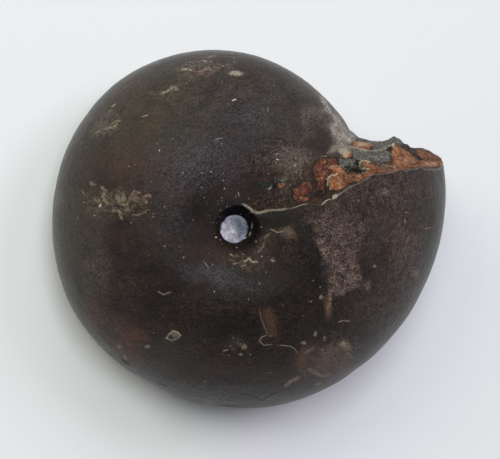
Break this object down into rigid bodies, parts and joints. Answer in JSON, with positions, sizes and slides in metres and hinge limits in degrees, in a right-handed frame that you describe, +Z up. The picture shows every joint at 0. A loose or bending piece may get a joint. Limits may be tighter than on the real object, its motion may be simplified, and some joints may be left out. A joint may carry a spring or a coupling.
{
  "type": "fossil ammonite",
  "caption": "Smooth, thick, tightly coiled fossil shell in dark stone, broken across its last whorl, lying on its flank.",
  "frame": {"origin": "middle of the bounding box's footprint, on the surface that the fossil lies on", "axes": "+Z up, nearly along the coil axis, which leans 8.4 degrees towards -X; +X towards the broken mouth, along the greatest diameter"},
  "size_m": [0.0556, 0.0516, 0.033],
  "materials": {
    "fossil_stone": "dark brown stone, hand-polished on the flank, with tan crusts; granular and rust-orange on the break"
  },
  "bodies": {
    "root": {"ammonite": "fossil_stone"}
  },
  "joints": []
}
